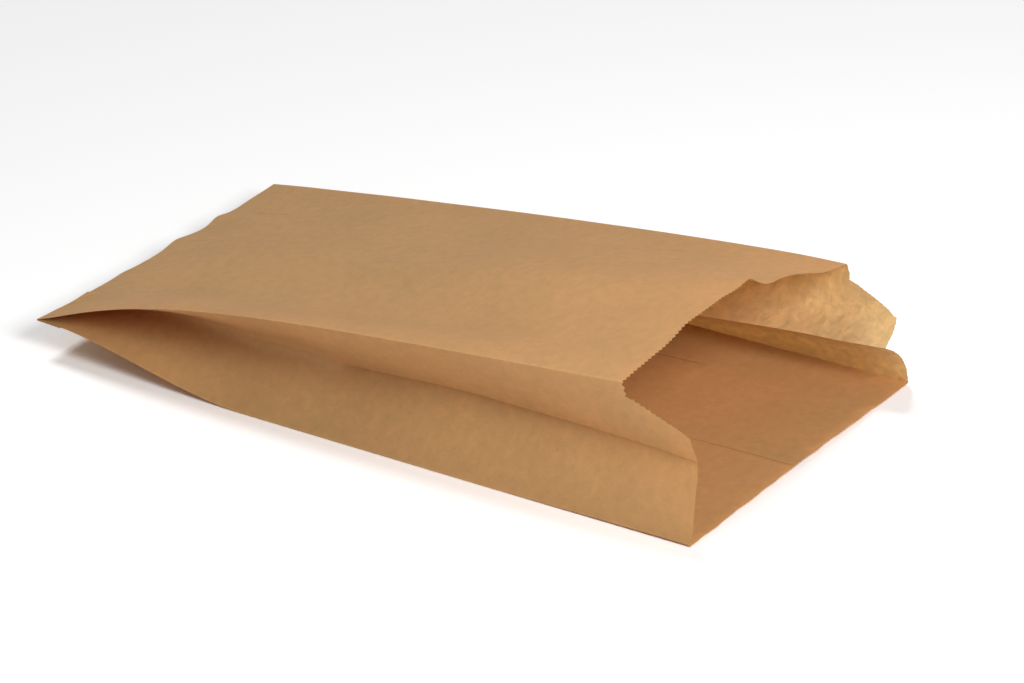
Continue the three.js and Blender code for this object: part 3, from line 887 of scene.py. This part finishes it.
class BAG_OT_fold_paper_bag(bpy.types.Operator):
    """Folds the flat sheet into the gusseted bag"""

    bl_idname = "paper_bag.fold_sheet"
    bl_label = "Fold Paper Bag"

    def execute(self, context):
        """Makes the bag's one piece, in place of its plain solid."""
        scene = context.scene
        sheet = scene.bag_sheet
        bag = FoldedBag(sheet, scene.bag_form)
        bm = flat_sheet(sheet, bag)
        cut_teeth(bm, sheet, bag)
        fold_sheet(bm, bag)
        mesh = bpy.data.meshes.new("kraft_bag_sheet")
        bm.to_mesh(mesh)
        bm.free()
        mesh.shade_smooth()
        piece = bpy.data.objects.new("kraft_bag_sheet", mesh)
        scene.collection.objects.link(piece)
        kraft = scene.bag_kraft
        # The last number sets the folds' rubbed paleness with its painted highlight and shade,
        # opposite in sign on the inner face
        mesh.materials.append(kraft_paper(
            "kraft_outside_machine_glazed", kraft.outside, kraft, 0.6,
            OUTSIDE_CREASES, 0.19, 0.08))
        mesh.materials.append(kraft_paper(
            "kraft_inside_rough", kraft.inside, kraft, 0.8,
            INSIDE_CREASES, 0.2, -0.08))
        wall = piece.modifiers.new("paper", "SOLIDIFY")
        wall.thickness = sheet.paper
        wall.offset = 0
        wall.material_offset = 1
        even = piece.modifiers.new("even_normals", "WEIGHTED_NORMAL")
        even.mode = "FACE_AREA"
        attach(piece, "root")
        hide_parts("paper_bag")
        return {"FINISHED"}


def area_lamp(scene, name, place, aim, size, power, colour=(1, 1, 1)):
    """A large square lamp at a place, turned to its aim."""
    lamp = bpy.data.lights.new(name, "AREA")
    lamp.shape = "SQUARE"
    lamp.size = size
    lamp.energy = power
    lamp.color = colour
    holder = bpy.data.objects.new(name, lamp)
    holder.location = place
    holder.rotation_euler = (Vector(aim) - Vector(place)).to_track_quat("-Z", "Y").to_euler()
    scene.collection.objects.link(holder)
    return holder


class BAG_OT_set_studio(bpy.types.Operator):
    """Makes the floor, the lamps and the camera"""

    bl_idname = "paper_bag.set_studio"
    bl_label = "Set Studio"

    def execute(self, context):
        """Lays a pale floor under even light and places the camera."""
        scene = context.scene
        studio = scene.bag_studio
        self.make_floor(scene, studio)
        self.make_world(scene, studio)
        self.make_key(scene, studio)
        area_lamp(scene, "fill_lamp", (0.80, -0.44, 0.70), (0.05, 0, 0.03), 0.4, studio.fill)
        self.make_camera(scene, studio)
        scene.view_settings.view_transform = "Standard"
        return {"FINISHED"}

    def make_floor(self, scene, studio):
        """A wide flat floor at the bag's resting height."""
        bm = bmesh.new()
        bmesh.ops.create_grid(bm, x_segments=1, y_segments=1, size=6.0)
        mesh = bpy.data.meshes.new("studio_floor")
        bm.to_mesh(mesh)
        bm.free()
        floor = bpy.data.objects.new("studio_floor", mesh)
        scene.collection.objects.link(floor)
        material, tree = new_material("matt_white_paint")
        path = add_node(tree, "ShaderNodeLightPath")
        paint = add_node(tree, "ShaderNodeBsdfDiffuse", inputs={"Color": (*studio.floor, 1)})
        white = add_node(tree, "ShaderNodeBsdfDiffuse", inputs={
            "Color": (*[studio.floor_seen * c for c in studio.floor], 1)})
        mix = add_node(tree, "ShaderNodeMixShader", links={
            "Fac": path.outputs["Is Camera Ray"], 1: paint.outputs["BSDF"],
            2: white.outputs["BSDF"]})
        add_node(tree, "ShaderNodeOutputMaterial", links={"Surface": mix.outputs["Shader"]})
        mesh.materials.append(material)

    def make_key(self, scene, studio):
        """Soft distant light from above the closed end, which lays the shadow by the mouth."""
        lamp = bpy.data.lights.new("key_lamp", "SUN")
        lamp.energy = studio.key
        lamp.angle = studio.key_softness
        holder = bpy.data.objects.new("key_lamp", lamp)
        holder.location = (-0.60, 0.25, 1.0)
        holder.rotation_euler = (-holder.location).to_track_quat("-Z", "Y").to_euler()
        scene.collection.objects.link(holder)

    def make_world(self, scene, studio):
        """Even white light, seen by the camera as plain white."""
        world = bpy.data.worlds.new("studio_sky")
        scene.world = world
        world.use_nodes = True
        tree = world.node_tree
        tree.nodes.clear()
        output = add_node(tree, "ShaderNodeOutputWorld")
        path = add_node(tree, "ShaderNodeLightPath")
        even = add_node(tree, "ShaderNodeBackground", inputs={"Strength": studio.sky})
        white = add_node(tree, "ShaderNodeBackground", inputs={"Strength": 1.0})
        for node in (even, white):
            node.inputs["Color"].default_value = (1, 1, 1, 1)
        # Light that seeps through paper is a diffuse transmission ray, and keeps the sky's strength
        clear = add_node(tree, "ShaderNodeMath", {"operation": "SUBTRACT"}, links={
            0: path.outputs["Is Transmission Ray"], 1: path.outputs["Is Diffuse Ray"]})
        seen = path.outputs["Is Camera Ray"]
        for ray in (path.outputs["Is Glossy Ray"], clear.outputs[0]):
            seen = add_node(tree, "ShaderNodeMath", {"operation": "MAXIMUM"}, links={
                0: seen, 1: ray}).outputs[0]
        mix = add_node(tree, "ShaderNodeMixShader", links={"Fac": seen})
        tree.links.new(even.outputs["Background"], mix.inputs[1])
        tree.links.new(white.outputs["Background"], mix.inputs[2])
        tree.links.new(mix.outputs["Shader"], output.inputs["Surface"])

    def make_camera(self, scene, studio):
        """A long lens that looks at the bag from the front and right of its closed end."""
        azimuth = math.radians(studio.azimuth)
        elevation = math.radians(studio.elevation)
        forward = Vector((-math.sin(azimuth) * math.cos(elevation),
                          math.cos(azimuth) * math.cos(elevation),
                          -math.sin(elevation)))
        data = bpy.data.cameras.new("studio_camera")
        data.sensor_width = 36.0
        data.lens = studio.lens
        data.clip_start = 0.05
        data.clip_end = 50.0
        camera = bpy.data.objects.new("studio_camera", data)
        camera.location = CAMERA_AIM - forward * studio.distance
        camera.rotation_euler = forward.to_track_quat("-Z", "Y").to_euler()
        scene.collection.objects.link(camera)
        scene.camera = camera


class BAG_PT_panel(bpy.types.Panel):
    """Lists the bag's operators and settings"""

    bl_idname = "BAG_PT_panel"
    bl_label = "Paper Bag"
    bl_space_type = "VIEW_3D"
    bl_region_type = "UI"
    bl_category = "Paper Bag"

    def draw(self, context):
        """One button for each operator, and the settings under them."""
        for operator in OPERATORS:
            self.layout.operator(operator.bl_idname)
        for name, group in GROUPS.items():
            box = self.layout.box()
            for prop in group.__annotations__:
                box.prop(getattr(context.scene, name), prop)


OPERATORS = (BAG_OT_fold_paper_bag, BAG_OT_set_studio)
CLASSES = (*GROUPS.values(), *OPERATORS, BAG_PT_panel)


def register():
    """Adds the classes, and the settings to every scene."""
    for cls in CLASSES:
        bpy.utils.register_class(cls)
    for name, group in GROUPS.items():
        setattr(bpy.types.Scene, name, PointerProperty(type=group))


def unregister():
    """Takes the settings and the classes away again."""
    for name in GROUPS:
        delattr(bpy.types.Scene, name)
    for cls in reversed(CLASSES):
        bpy.utils.unregister_class(cls)


def main():
    """Builds the bag and its studio."""
    register()
    bpy.ops.paper_bag.set_studio()
    bpy.ops.paper_bag.fold_sheet()


if __name__ == "__main__":
    main()
